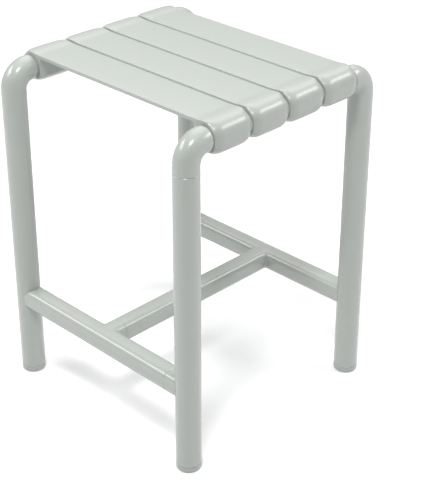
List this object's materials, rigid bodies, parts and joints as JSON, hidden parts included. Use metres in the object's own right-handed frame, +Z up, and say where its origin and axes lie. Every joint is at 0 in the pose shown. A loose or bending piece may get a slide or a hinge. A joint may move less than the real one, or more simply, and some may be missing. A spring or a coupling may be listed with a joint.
{
  "type": "shower stool",
  "caption": "Backless tube-frame shower stool: slightly dished slatted seat on two inverted-U frames, low H-shaped stretcher and foot caps.",
  "frame": {"origin": "on the floor under the middle of the seat, at the centre of the overall box's underside", "axes": "+Z up, +X along the slats, +Y along the top rails from front to rear"},
  "size_m": [0.359, 0.345, 0.471],
  "materials": {
    "nylon": "satin",
    "nylon_seat": "satin",
    "foot_plastic": "matte",
    "core_steel": "mill",
    "screw_steel": "plain"
  },
  "bodies": {
    "root": {"bent_leg_front_left": "nylon", "bent_leg_rear_right": "nylon", "straight_leg_front_right": "nylon", "straight_leg_rear_left": "nylon", "elbow_front_right": "nylon", "elbow_rear_left": "nylon", "rail_tube_left": "nylon", "rail_tube_right": "nylon", "foot_cap_front_left": "foot_plastic", "foot_cap_front_right": "foot_plastic", "foot_cap_rear_left": "foot_plastic", "foot_cap_rear_right": "foot_plastic", "leg_core_front_left": "core_steel", "leg_core_front_right": "core_steel", "leg_core_rear_left": "core_steel", "leg_core_rear_right": "core_steel", "corner_connector_front_left": "core_steel", "corner_connector_front_right": "core_steel", "corner_connector_rear_left": "core_steel", "corner_connector_rear_right": "core_steel", "rail_core_left": "core_steel", "rail_core_right": "core_steel", "seat_slat_1": "nylon_seat", "seat_slat_2": "nylon_seat", "seat_slat_3": "nylon_seat", "seat_slat_4": "nylon_seat", "slat_screws_left": "screw_steel", "slat_screws_right": "screw_steel", "stretcher_front": "nylon", "stretcher_rear": "nylon", "stretcher_middle": "nylon", "stretcher_socket_front": "nylon", "stretcher_socket_rear": "nylon", "stretcher_socket_middle": "nylon", "stretcher_core_front": "core_steel", "stretcher_core_rear": "core_steel", "stretcher_core_middle": "core_steel", "socket_screws": "screw_steel"}
  },
  "joints": []
}
